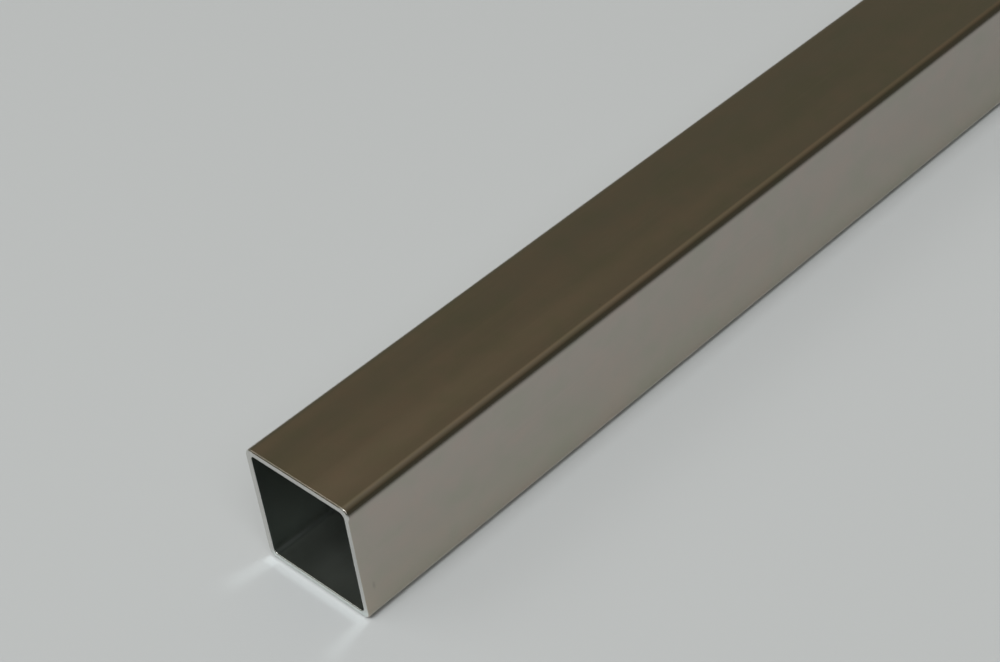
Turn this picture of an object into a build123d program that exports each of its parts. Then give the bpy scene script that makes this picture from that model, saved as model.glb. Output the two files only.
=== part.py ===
from build123d import *
import os

# Square hollow section of polished stainless steel: strip rolled to a tube and welded along one seam,
# squared between rolls, ground and polished outside, and cut to a stock length with a saw.
#
# Frame: X runs along the tube, Y across it and Z is up. The tube lies on one of its four faces, and
# the origin is the middle of that face. All sizes are in millimetres.

# Section
SIDE = 30.0  # across the flats, outside
WALL = 1.5  # thickness of the strip
OUTER_RADIUS = 2.0  # outside of the four corners
INNER_RADIUS = 1.2  # inside of them, where the squaring rolls crowd the metal a little thicker than the wall

# Seam: the low bead that the weld leaves along the inside of the front wall, once rolled down
BEAD_WIDTH = 2.0
BEAD_HEIGHT = 0.15

# Cut
LENGTH = 1000.0
OUTER_BREAK = 0.25  # bevel that deburring leaves round the outside of each saw cut
INNER_BREAK = 0.15  # bevel that it leaves round the bore

bore_side = SIDE - 2 * WALL
bead_root = WALL / 2  # how far the bead's profile reaches into the wall that it is fused with

# The two saw cuts, with the section's own axes: local X is across, local Y is up, centred on the bore.
start_cut = Plane(origin=(-LENGTH / 2, 0, SIDE / 2), x_dir=(0, 1, 0), z_dir=(1, 0, 0))
end_cut = Plane(origin=(LENGTH / 2, 0, SIDE / 2), x_dir=(0, -1, 0), z_dir=(-1, 0, 0))

with BuildPart() as tube:
    # Section: rounded square with a rounded square bore, and the bead standing into the bore.
    with BuildSketch(start_cut) as section:
        RectangleRounded(SIDE, SIDE, OUTER_RADIUS)
        RectangleRounded(bore_side, bore_side, INNER_RADIUS, mode=Mode.SUBTRACT)
        with BuildLine() as bead:
            lower_toe = (-bore_side / 2, -BEAD_WIDTH / 2)
            upper_toe = (-bore_side / 2, BEAD_WIDTH / 2)
            ThreePointArc(lower_toe, (-bore_side / 2 + BEAD_HEIGHT, 0), upper_toe)
            Polyline(
                upper_toe,
                (-bore_side / 2 - bead_root, BEAD_WIDTH / 2),
                (-bore_side / 2 - bead_root, -BEAD_WIDTH / 2),
                lower_toe,
            )
        make_face()
    extrude(amount=LENGTH)

    # Outer edge of both cuts.
    outer_edges = [edge for cut in tube.faces().filter_by(Axis.X) for edge in cut.outer_wire().edges()]
    chamfer(outer_edges, length=OUTER_BREAK)

    # Mouth of the bore at both cuts: a 45 degree countersink that follows the square.
    for cut in (start_cut, end_cut):
        with BuildSketch(cut):
            RectangleRounded(
                bore_side + 2 * INNER_BREAK,
                bore_side + 2 * INNER_BREAK,
                INNER_RADIUS + INNER_BREAK,
            )
        extrude(amount=INNER_BREAK, taper=45, mode=Mode.SUBTRACT)

tube.part.label = "tube"

os.makedirs("parts", exist_ok=True)
export_step(tube.part, "parts/tube.step")
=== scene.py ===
"""Dresses and lights a length of polished stainless steel square tube, as a small Blender add-on."""
import math
import bpy
from bpy.props import FloatProperty, FloatVectorProperty, PointerProperty
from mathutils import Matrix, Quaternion, Vector


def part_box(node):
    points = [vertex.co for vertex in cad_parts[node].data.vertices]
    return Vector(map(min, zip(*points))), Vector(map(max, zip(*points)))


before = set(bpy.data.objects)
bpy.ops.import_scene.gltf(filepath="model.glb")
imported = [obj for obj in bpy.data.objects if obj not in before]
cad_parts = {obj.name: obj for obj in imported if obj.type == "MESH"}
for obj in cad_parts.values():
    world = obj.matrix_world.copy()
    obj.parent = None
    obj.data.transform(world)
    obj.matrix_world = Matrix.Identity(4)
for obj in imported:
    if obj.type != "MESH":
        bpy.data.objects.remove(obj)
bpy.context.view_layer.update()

bl_info = {
    "name": "Square tube studio",
    "version": (1, 0, 0),
    "blender": (4, 5, 0),
    "location": "View3D > Sidebar > Square tube",
    "description": "Finishes a polished stainless steel square tube and sets it on a plain pale floor",
    "category": "Object",
}

MM = 0.001
TUBE = "tube"
LOW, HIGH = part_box(TUBE)
SIDE = HIGH.z - LOW.z
WALL = 1.5 * MM
REACH = HIGH.x  # from the middle of the tube to either saw cut
OUTER_BREAK = 0.25 * MM  # bevel round the outside of the saw cut
BORE_BREAK = 0.15 * MM  # bevel round the bore there

# Settings of a Mix node between two colours, which are its inputs 6 and 7. Its factor is input 0.
BLEND = {"data_type": "RGBA"}
TIMES = {"data_type": "RGBA", "blend_type": "MULTIPLY", 0: 1.0}


def linear(hex_colour):
    """The scene-linear value of an sRGB colour written as six hex digits."""
    channels = [int(hex_colour[i:i + 2], 16) / 255 for i in (0, 2, 4)]
    return [c / 12.92 if c <= 0.04045 else ((c + 0.055) / 1.055) ** 2.4 for c in channels]


def colour(name, hex_colour, description):
    """A colour property with its default written in sRGB."""
    return FloatVectorProperty(
        name=name, description=description, default=linear(hex_colour), size=3, subtype="COLOR", min=0, max=1
    )


class TubeFinish(bpy.types.PropertyGroup):
    """Colours and roughness that the mill, the saw and handling leave on the tube, and light and shade painted on it.
    """

    polished: colour("Polished", "B5AEA6", "Outside of the tube, ground and buffed along its length")
    sawn: colour("Sawn", "D2D1CD", "Fresh metal of the saw cut")
    # The cut's colour towards its foot, lighter and cooler than the rest of it.
    lighter_foot: colour("Lighter foot", "D9DDDA", "Foot of the saw cut, rubbed by the blade as it leaves")
    mill: colour("Mill finish", "BCC3C0", "Inside of the tube, as it left the rolls")
    # Painted light: the lower wall of the bore is drawn lighter, as the light falling in through the cuts makes it.
    painted_light_bed: colour("Lighter lower bore", "DFE5DF", "Lower wall of the bore, under fine dust from the saw")
    straw: colour("Heat tint", "B5A582", "Inside, beside the weld")
    # Painted shade: this multiplies the bore's colour for 20 mm inside each cut.
    painted_mouth_shade: colour("Shade inside the cuts", "B4B7B4", "What the film just inside the cuts leaves of the metal's colour")
    soil: colour("Soil", "565C54", "Grease of a thumb mark and a speck of scale on the polished outside")
    polished_roughness: FloatProperty(
        name="Polished roughness", description="Blur of what the outside mirrors", default=0.17, min=0, max=1,
        subtype="FACTOR"
    )
    sawn_roughness: FloatProperty(
        name="Sawn roughness", description="Blur of what the cut mirrors", default=0.2, min=0, max=1,
        subtype="FACTOR"
    )
    mill_roughness: FloatProperty(
        name="Mill roughness", description="Blur of what the bore mirrors", default=0.34, min=0, max=1,
        subtype="FACTOR"
    )


class TubeStage(bpy.types.PropertyGroup):
    """The floor, its backdrop and the camera."""

    floor: colour("Floor", "B9BDBF", "Plain matt board that the tube lies on, and the backdrop beyond it")
    floor_side: FloatProperty(
        name="Floor side", description="Length and width of the floor", default=8.0, unit="LENGTH"
    )
    spot: FloatVectorProperty(
        name="Camera place", description="Camera's place, from the foot of the near saw cut",
        default=(-5.517 * SIDE, -8.5154 * SIDE, 10.2035 * SIDE), subtype="TRANSLATION", unit="LENGTH"
    )
    lens: FloatProperty(name="Lens", description="Focal length", default=76.63, unit="CAMERA")
    heading: FloatProperty(
        name="Heading", description="Way the camera faces, from +X", default=math.radians(48.929), unit="ROTATION"
    )
    tilt: FloatProperty(
        name="Tilt", description="How far the camera looks down", default=math.radians(39.333), unit="ROTATION"
    )
    roll: FloatProperty(
        name="Roll", description="Turn of the camera about its own axis", default=math.radians(8.073), unit="ROTATION"
    )


def place(tree, kind, settings=None, stops=None, **links):
    """Adds a node, sets its values, inputs and ramp stops, and links its inputs, by name or _number, to nodes."""
    node = tree.nodes.new(kind)
    for name, value in (settings or {}).items():
        if isinstance(name, int) or name in node.inputs:
            node.inputs[name].default_value = value
        else:
            setattr(node, name, value)
    for i, (at, value) in enumerate(stops or ()):
        elements = node.color_ramp.elements
        element = elements[i] if i < 2 else elements.new(at)
        element.position = at
        element.color = (*value, 1) if isinstance(value, tuple) else (value, value, value, 1)
    for name, source in links.items():
        if isinstance(source, bpy.types.Node):
            source = next(output for output in source.outputs if output.enabled)
        tree.links.new(source, node.inputs[int(name[1:]) if name[0] == "_" else name])
    return node


class TUBE_OT_finish(bpy.types.Operator):
    """Give the tube its polished outside, sawn rims and mill finish bore"""

    bl_idname = "tube.finish"
    bl_label = "Finish the tube"

    def execute(self, context):
        look = context.scene.tube_finish
        # Polished stainless steel, as strip ground with fine belts and buffed along its length before or after
        # forming: it mirrors softly, with faint lines and haze that run lengthwise, over walls that the squaring
        # rolls left a little crowned and wavy. The saw cut is fresh and bright, with marks straight across it, and
        # the bore keeps the dull skin from the rolls, with a straw heat tint beside the weld.
        steel = bpy.data.materials.new("polished stainless steel")
        steel.use_nodes = True
        tree = steel.node_tree
        tree.nodes.clear()
        at = place(tree, "ShaderNodeTexCoord").outputs["Object"]
        xyz = place(tree, "ShaderNodeSeparateXYZ", Vector=at).outputs

        # Where the surface is: in the bore, on a saw cut, or outside.
        along = place(tree, "ShaderNodeMath", {"operation": "ABSOLUTE"}, _0=xyz["X"])
        across = place(tree, "ShaderNodeMath", {"operation": "ABSOLUTE"}, _0=xyz["Y"])
        lift = place(tree, "ShaderNodeMath", {"operation": "SUBTRACT", 1: SIDE / 2}, _0=xyz["Z"])
        rise = place(tree, "ShaderNodeMath", {"operation": "ABSOLUTE"}, _0=lift)
        out = place(tree, "ShaderNodeMath", {"operation": "MAXIMUM"}, _0=across, _1=rise)
        off_middle = place(tree, "ShaderNodeMath", {"operation": "MINIMUM"}, _0=across, _1=rise)
        mid_wall = (SIDE - WALL) / 2
        inside = place(tree, "ShaderNodeMath", {"operation": "LESS_THAN", 1: mid_wall}, _0=out)
        # Deburring bares the bevel round the bore. Outside, the bevel takes the sawn colour only at the two upper
        # corners, as a painted highlight of the glints there. Elsewhere the bevel outside has the colour of the walls.
        # A bared bevel is taken a twentieth wider, so that its edge is in.
        upper = place(tree, "ShaderNodeMath", {"operation": "MINIMUM"}, _0=across, _1=lift)
        cut_and_corner_glint = place(
            tree, "ShaderNodeMapRange", {
                "From Min": SIDE / 2 - 2.6 * MM, "From Max": SIDE / 2 - 1.8 * MM,
                "To Min": REACH - 0.02 * MM, "To Max": REACH - OUTER_BREAK * 1.05,
            }, Value=upper
        )
        cut_from = place(tree, "ShaderNodeMix", {3: REACH - BORE_BREAK * 1.05}, _0=inside, _2=cut_and_corner_glint)
        # The cut, and at the two upper corners the bevel outside with its painted highlight.
        cut = place(tree, "ShaderNodeMath", {"operation": "GREATER_THAN"}, _0=along, _1=cut_from)

        # Four patterns, by their size in millimetres along X, Y and Z. Each shift only picks another part of a noise.
        # Lines: belt marks are some 0.03 mm apart, too fine for any view, so they are drawn 0.3 mm wide.
        # Haze: buffing leaves patches about 15 mm long and 11 mm wide. Mottle: its compound leaves finer ones.
        # Marks: the saw's are some 0.1 mm apart and upright, and wander a little. They are drawn 0.35 mm apart to show.
        patterns = []
        for size, shift, detail in (
            ((60, 0.3, 0.3), (0, 0, 0), 3.0),
            ((15, 11, 11), (20.0, 13.5, 3.6), 2.0),
            ((5, 4, 4), (10.9, 31.3, 34.7), 2.0),
            ((math.inf, 0.35, 12), (0, 0, 0), 2.0),
        ):
            scale = [1 / (length * MM) for length in size]
            pattern = place(tree, "ShaderNodeMapping", {"Location": shift, "Scale": scale}, Vector=at)
            patterns.append(place(tree, "ShaderNodeTexNoise", {"Scale": 1.0, "Detail": detail}, Vector=pattern))
        lines, haze, mottle, marks = patterns

        # Outside: the haze and mottle turn the polish from cool to warm, and the lines run through it.
        patches = place(tree, "ShaderNodeMix", {0: 0.45}, _2=haze, _3=mottle)
        cool, plain, warm = (0.91, 0.95, 0.885), (0.955, 0.957, 0.92), (0.995, 0.957, 0.92)
        tint = place(tree, "ShaderNodeValToRGB", stops=[(0.37, cool), (0.63, warm), (0.5, plain)], Fac=patches)
        streak = place(tree, "ShaderNodeValToRGB", stops=[(0.3, 0.98), (0.78, 1.06), (0.62, 1.0)], Fac=lines)
        polished = place(tree, "ShaderNodeMix", {**TIMES, 6: (*look.polished, 1)}, _7=tint)
        polished = place(tree, "ShaderNodeMix", TIMES, _6=polished, _7=streak)
        # A thumb has left a mark on the front wall beside the cut, and there is a speck of scale by the front corner.
        for middle, size in (
            ((2.6 * MM - REACH, -SIDE / 2, 8.2 * MM), (0.5 * MM, 0.5 * MM, 1.3 * MM)),
            ((74.3 * MM - REACH, -12.3 * MM, SIDE), (0.45 * MM, 0.3 * MM, 0.4 * MM)),
        ):
            spot = place(
                tree, "ShaderNodeMapping", {"vector_type": "TEXTURE", "Location": middle, "Scale": size}, Vector=at
            )
            spot = place(tree, "ShaderNodeVectorMath", {"operation": "LENGTH"}, _0=spot)
            spot = place(tree, "ShaderNodeMapRange", {"From Min": 1.0, "From Max": 0.3, "To Max": 0.22}, Value=spot)
            polished = place(tree, "ShaderNodeMix", {**BLEND, 7: (*look.soil, 1)}, _0=spot, _6=polished)

        # Bore: the lower wall, up to its rounded corners, is painted lighter than the others, as the light falling in
        # from above makes it.
        bed = place(tree, "ShaderNodeMapRange", {"From Min": WALL + 0.5 * MM, "From Max": WALL}, Value=xyz["Z"])
        corner = SIDE / 2 - WALL
        flat = place(
            tree, "ShaderNodeMapRange", {"From Min": corner - 0.8 * MM, "From Max": corner - 1.8 * MM}, Value=across
        )
        bed = place(tree, "ShaderNodeMath", {"operation": "MULTIPLY"}, _0=bed, _1=flat)
        drawn = place(tree, "ShaderNodeMix", {**BLEND, 6: (*look.mill, 1), 7: (*look.painted_light_bed, 1)}, _0=bed)
        # Heat tint of the weld: straw, 2.5 mm to each side of the seam, on the front wall.
        seam = place(tree, "ShaderNodeMapRange", {"From Min": 2.5 * MM, "From Max": 0.8 * MM}, Value=rise)
        front = place(tree, "ShaderNodeMath", {"operation": "LESS_THAN", 1: 0.0}, _0=xyz["Y"])
        seam = place(tree, "ShaderNodeMath", {"operation": "MULTIPLY"}, _0=seam, _1=front)
        drawn = place(tree, "ShaderNodeMix", {**BLEND, 7: (*look.straw, 1)}, _0=seam, _6=drawn)
        # Painted shade: the bore is drawn darker for 20 mm inside each cut, which evens its light with the deeper bore.
        painted_mouth_shade = place(tree, "ShaderNodeMapRange", {"From Min": REACH - 20 * MM, "From Max": REACH - 1 * MM}, Value=along)
        drawn = place(tree, "ShaderNodeMix", {**TIMES, 7: (*look.painted_mouth_shade, 1)}, _0=painted_mouth_shade, _6=drawn)
        drawn = place(tree, "ShaderNodeMix", TIMES, _6=drawn, _7=streak)

        # Cut: drawn lighter and cooler towards its foot, over its lowest 3 mm.
        foot = place(tree, "ShaderNodeMapRange", {"From Min": 3 * MM, "From Max": 1.2 * MM}, Value=xyz["Z"])
        sawn = place(tree, "ShaderNodeMix", {**BLEND, 6: (*look.sawn, 1), 7: (*look.lighter_foot, 1)}, _0=foot)
        scored = place(tree, "ShaderNodeValToRGB", stops=[(0.35, 0.92), (0.65, 1.06)], Fac=marks)
        sawn = place(tree, "ShaderNodeMix", TIMES, _6=sawn, _7=scored)

        skin = place(tree, "ShaderNodeMix", BLEND, _0=inside, _6=polished, _7=drawn)
        skin = place(tree, "ShaderNodeMix", BLEND, _0=cut, _6=skin, _7=sawn)

        # Each surface's blur, a tenth more or less with the haze and the lines.
        blur = place(tree, "ShaderNodeMix", {2: look.polished_roughness, 3: look.mill_roughness}, _0=inside)
        blur = place(tree, "ShaderNodeMix", {3: look.sawn_roughness}, _0=cut, _2=blur)
        uneven = place(tree, "ShaderNodeMath", {"operation": "ADD"}, _0=haze, _1=lines)
        uneven = place(
            tree, "ShaderNodeMapRange", {"From Min": 0.6, "From Max": 1.4, "To Min": 0.88, "To Max": 1.12}, Value=uneven
        )
        blur = place(tree, "ShaderNodeMath", {"operation": "MULTIPLY"}, _0=blur, _1=uneven)

        # Form: each wall falls off by a fifth of a millimetre from its middle to its corners and is a little wavy, the
        # saw's marks are a few thousandths deep, and every edge is just broken.
        crown = place(
            tree, "ShaderNodeMapRange",
            {"interpolation_type": "SMOOTHSTEP", "From Min": 3 * MM, "From Max": 11.5 * MM, "To Max": -0.2 * MM},
            Value=off_middle
        )
        waves = place(tree, "ShaderNodeMath", {"operation": "MULTIPLY", 1: 0.065 * MM}, _0=haze)
        form = place(tree, "ShaderNodeMath", {"operation": "ADD"}, _0=crown, _1=waves)
        ridges = place(tree, "ShaderNodeMath", {"operation": "MULTIPLY", 1: 0.004 * MM}, _0=marks)
        form = place(tree, "ShaderNodeMix", _0=cut, _2=form, _3=ridges)
        edge = place(tree, "ShaderNodeBevel", {"samples": 6, "Radius": 0.16 * MM})
        relief = place(tree, "ShaderNodeBump", {"Distance": 1.0}, Height=form, Normal=edge)
        metal = place(
            tree, "ShaderNodeBsdfPrincipled", {"Metallic": 1.0}, Roughness=blur, Normal=relief, **{"Base Color": skin}
        )
        place(tree, "ShaderNodeOutputMaterial", Surface=metal)
        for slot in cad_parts[TUBE].material_slots:
            slot.material = steel
        return {"FINISHED"}


def softbox(name, heading, elevation, width, height, share):
    """A soft lamp that gives the floor by the near end this share of its light, from this heading and elevation."""
    heading, elevation = math.radians(heading), math.radians(elevation)
    distance = 5.0  # in metres, as the lamp's own sizes are
    level = math.cos(elevation)
    way = Vector((math.cos(heading) * level, math.sin(heading) * level, math.sin(elevation)))
    bpy.ops.object.light_add(type="AREA", location=Vector((-REACH, 0, 0)) + way * distance)
    lamp = bpy.context.object
    lamp.name = name
    lamp.rotation_mode = "QUATERNION"
    lamp.rotation_quaternion = way.to_track_quat("Z", "Y")
    lamp.data.shape = "RECTANGLE"
    lamp.data.size, lamp.data.size_y = width, height
    # A lamp of this energy makes a white floor at that distance show way.z * energy / (pi * distance) ** 2.
    lamp.data.energy = share * (math.pi * distance) ** 2 / way.z


def gleam(name, across, width, height, share, swing=0):
    """The key's light that one strip of bright rim throws on the floor before it, as a slip of lamp in its way."""
    fall, swing = math.radians(55), math.radians(swing)
    way = Vector((-math.cos(fall) * math.cos(swing), math.cos(fall) * math.sin(swing), -math.sin(fall)))
    up = Vector((-math.sin(fall) * math.cos(swing), math.sin(fall) * math.sin(swing), math.cos(fall)))
    length = height * math.cos(fall)
    foot = Vector((-REACH - 0.3 * MM, across, 0.2 * MM))  # just clear of the rim and of the floor
    bpy.ops.object.light_add(type="AREA", location=foot + up * length / 2)
    slip = bpy.context.object
    slip.name = name
    slip.rotation_mode = "QUATERNION"
    slip.rotation_quaternion = (-way).to_track_quat("Z", "Y")
    slip.data.shape = "RECTANGLE"
    slip.data.size, slip.data.size_y = width, length
    slip.data.spread = math.radians(60)  # narrower than a softbox, as mirrored light is
    slip.data.color = (0.92, 1.0, 0.985)  # cool, from the sawn metal
    # Without the spread, a lamp of this energy is as bright as that share of white.
    slip.data.energy = share * math.pi * width * length
    slip.visible_camera = False
    slip.visible_glossy = False


class TUBE_OT_stage(bpy.types.Operator):
    """Set out the floor, the lamps, the room and the camera"""

    bl_idname = "tube.stage"
    bl_label = "Set the stage"

    def execute(self, context):
        stage = context.scene.tube_stage
        bpy.ops.object.select_all(action="DESELECT")
        bpy.ops.mesh.primitive_plane_add(size=stage.floor_side, location=(0, 0, 0))
        floor = context.object
        floor.name = "floor"
        # Painted board, matt all over: an even pale grey without any gloss.
        board = bpy.data.materials.new("matt white board")
        board.use_nodes = True
        tree = board.node_tree
        tree.nodes.clear()
        # In what the metal mirrors, the board is painted with light and shade: it runs out of the light beside the
        # camera and takes the tube's warm tone close to it, with a thin painted highlight at its foot. The stops are
        # places across the floor, in millimetres.
        at = place(tree, "ShaderNodeSeparateXYZ", Vector=place(tree, "ShaderNodeTexCoord").outputs["Object"])
        far, near = -130, -13
        reached = place(
            tree, "ShaderNodeMapRange", {"From Min": far * MM, "From Max": near * MM}, Value=at.outputs["Y"]
        )
        tones = (
            (far, 0.45), (near, 1.0), (-42.0, (1.015, 1.01, 1.04)), (-24.7, (1.015, 1.01, 1.01)),
            (-16.04, (1.0, 1.0, 0.955)), (-14.4, (1.3, 1.3, 1.3)),
        )
        tone = place(
            tree, "ShaderNodeValToRGB", stops=[((y - far) / (near - far), value) for y, value in tones], Fac=reached
        )
        # It is also painted a little darker over the first 200 mm along the tube.
        fade = place(
            tree, "ShaderNodeMapRange", {"From Min": -REACH, "From Max": 0.2 - REACH, "To Min": 1.0, "To Max": 0.92},
            Value=at.outputs["X"]
        )
        tone = place(tree, "ShaderNodeMix", TIMES, _6=tone, _7=fade)
        mirrored = place(tree, "ShaderNodeLightPath").outputs["Is Glossy Ray"]
        light = place(tree, "ShaderNodeMix", {**BLEND, 6: (1.0, 1.0, 1.0, 1.0)}, _0=mirrored, _7=tone)
        paint = place(tree, "ShaderNodeMix", {**TIMES, 6: (*stage.floor, 1)}, _7=light)
        matt = place(
            tree, "ShaderNodeBsdfPrincipled", {"Roughness": 1.0, "Specular IOR Level": 0.0}, **{"Base Color": paint}
        )
        place(tree, "ShaderNodeOutputMaterial", Surface=matt)
        floor.data.materials.append(board)

        # The room that the metal mirrors is dark and warm, lightest overhead and darkest behind the camera. Only the
        # camera's own rays see the plain backdrop.
        world = bpy.data.worlds.new("room")
        context.scene.world = world
        world.use_nodes = True
        tree = world.node_tree
        tree.nodes.clear()
        way = place(tree, "ShaderNodeSeparateXYZ", Vector=place(tree, "ShaderNodeTexCoord").outputs["Generated"])
        # From level with the floor, at 0, to straight overhead, at 1.
        tone = place(
            tree, "ShaderNodeValToRGB", stops=[
                (0.0, (0.17, 0.168, 0.14)), (1.0, (0.33, 0.305, 0.27)),
                (0.34, (0.16, 0.153, 0.118)), (0.50, (0.135, 0.13, 0.094)), (0.60, (0.148, 0.133, 0.095)),
                (0.64, (0.158, 0.139, 0.096)), (0.67, (0.188, 0.154, 0.107)), (0.78, (0.245, 0.21, 0.148)),
                (0.90, (0.285, 0.25, 0.195)),
            ], Fac=way.outputs["Z"]
        )
        # From the front wall's side, at 0, to the back wall's, at 1.
        turn = place(tree, "ShaderNodeMapRange", {"From Min": -1.0, "From Max": 1.0}, Value=way.outputs["Y"])
        shade = place(
            tree, "ShaderNodeValToRGB", stops=[
                (0.0, 0.52), (1.0, 1.0), (0.08, 0.50), (0.18, 0.53), (0.28, 0.60), (0.40, 0.72), (0.52, 0.88),
                (0.64, 1.08), (0.76, 1.0),
            ], Fac=turn
        )
        room = place(tree, "ShaderNodeBackground", Color=tone, Strength=shade)
        pale = place(tree, "ShaderNodeBackground", {"Color": (*stage.floor, 1), "Strength": 1.0})
        seen = place(tree, "ShaderNodeLightPath").outputs["Is Camera Ray"]
        mix = place(tree, "ShaderNodeMixShader", _0=seen, _1=room, _2=pale)
        place(tree, "ShaderNodeOutputWorld", Surface=mix)

        softbox("key", 188, 60, 2.0, 3.15, 0.62)
        softbox("window", 130, 48, 3.35, 2.85, 0.125)
        softbox("fill", 243, 50, 2.5, 2.5, 0.195)
        gleam("gleam of the left rim", SIDE / 2 - WALL * 1.1, WALL * 2.2, SIDE * 0.55, 0.16, 10)
        gleam("gleam of the right rim", WALL * 0.8 - SIDE / 2, WALL * 1.6, SIDE * 0.6, 0.18, -9)
        gleam("gleam of the lower rim", SIDE * 0.03, SIDE * 0.92, WALL * 1.7, 0.2)

        aim = (
            Quaternion((0, 0, 1), stage.heading - math.pi / 2)
            @ Quaternion((1, 0, 0), math.pi / 2 - stage.tilt)
            @ Quaternion((0, 0, 1), -stage.roll)
        )
        bpy.ops.object.camera_add(location=Vector((-REACH, 0, 0)) + Vector(stage.spot), rotation=aim.to_euler())
        camera = context.object
        camera.data.lens = stage.lens
        camera.data.sensor_width = 36
        camera.data.clip_start, camera.data.clip_end = 0.01, 100
        context.scene.camera = camera
        context.scene.view_settings.view_transform = "Standard"
        return {"FINISHED"}


class TUBE_PT_panel(bpy.types.Panel):
    """The steps that dress the tube, in order"""

    bl_label = "Square tube"
    bl_idname = "TUBE_PT_panel"
    bl_space_type = "VIEW_3D"
    bl_region_type = "UI"
    bl_category = "Square tube"

    def draw(self, context):
        for step in (TUBE_OT_stage, TUBE_OT_finish):
            self.layout.operator(step.bl_idname)


CLASSES = (TubeFinish, TubeStage, TUBE_OT_finish, TUBE_OT_stage, TUBE_PT_panel)


def register():
    for each in CLASSES:
        bpy.utils.register_class(each)
    bpy.types.Scene.tube_finish = PointerProperty(type=TubeFinish)
    bpy.types.Scene.tube_stage = PointerProperty(type=TubeStage)


def unregister():
    del bpy.types.Scene.tube_stage
    del bpy.types.Scene.tube_finish
    for each in reversed(CLASSES):
        bpy.utils.unregister_class(each)


def main():
    register()
    bpy.ops.tube.stage()
    bpy.ops.tube.finish()


if __name__ == "__main__":
    main()
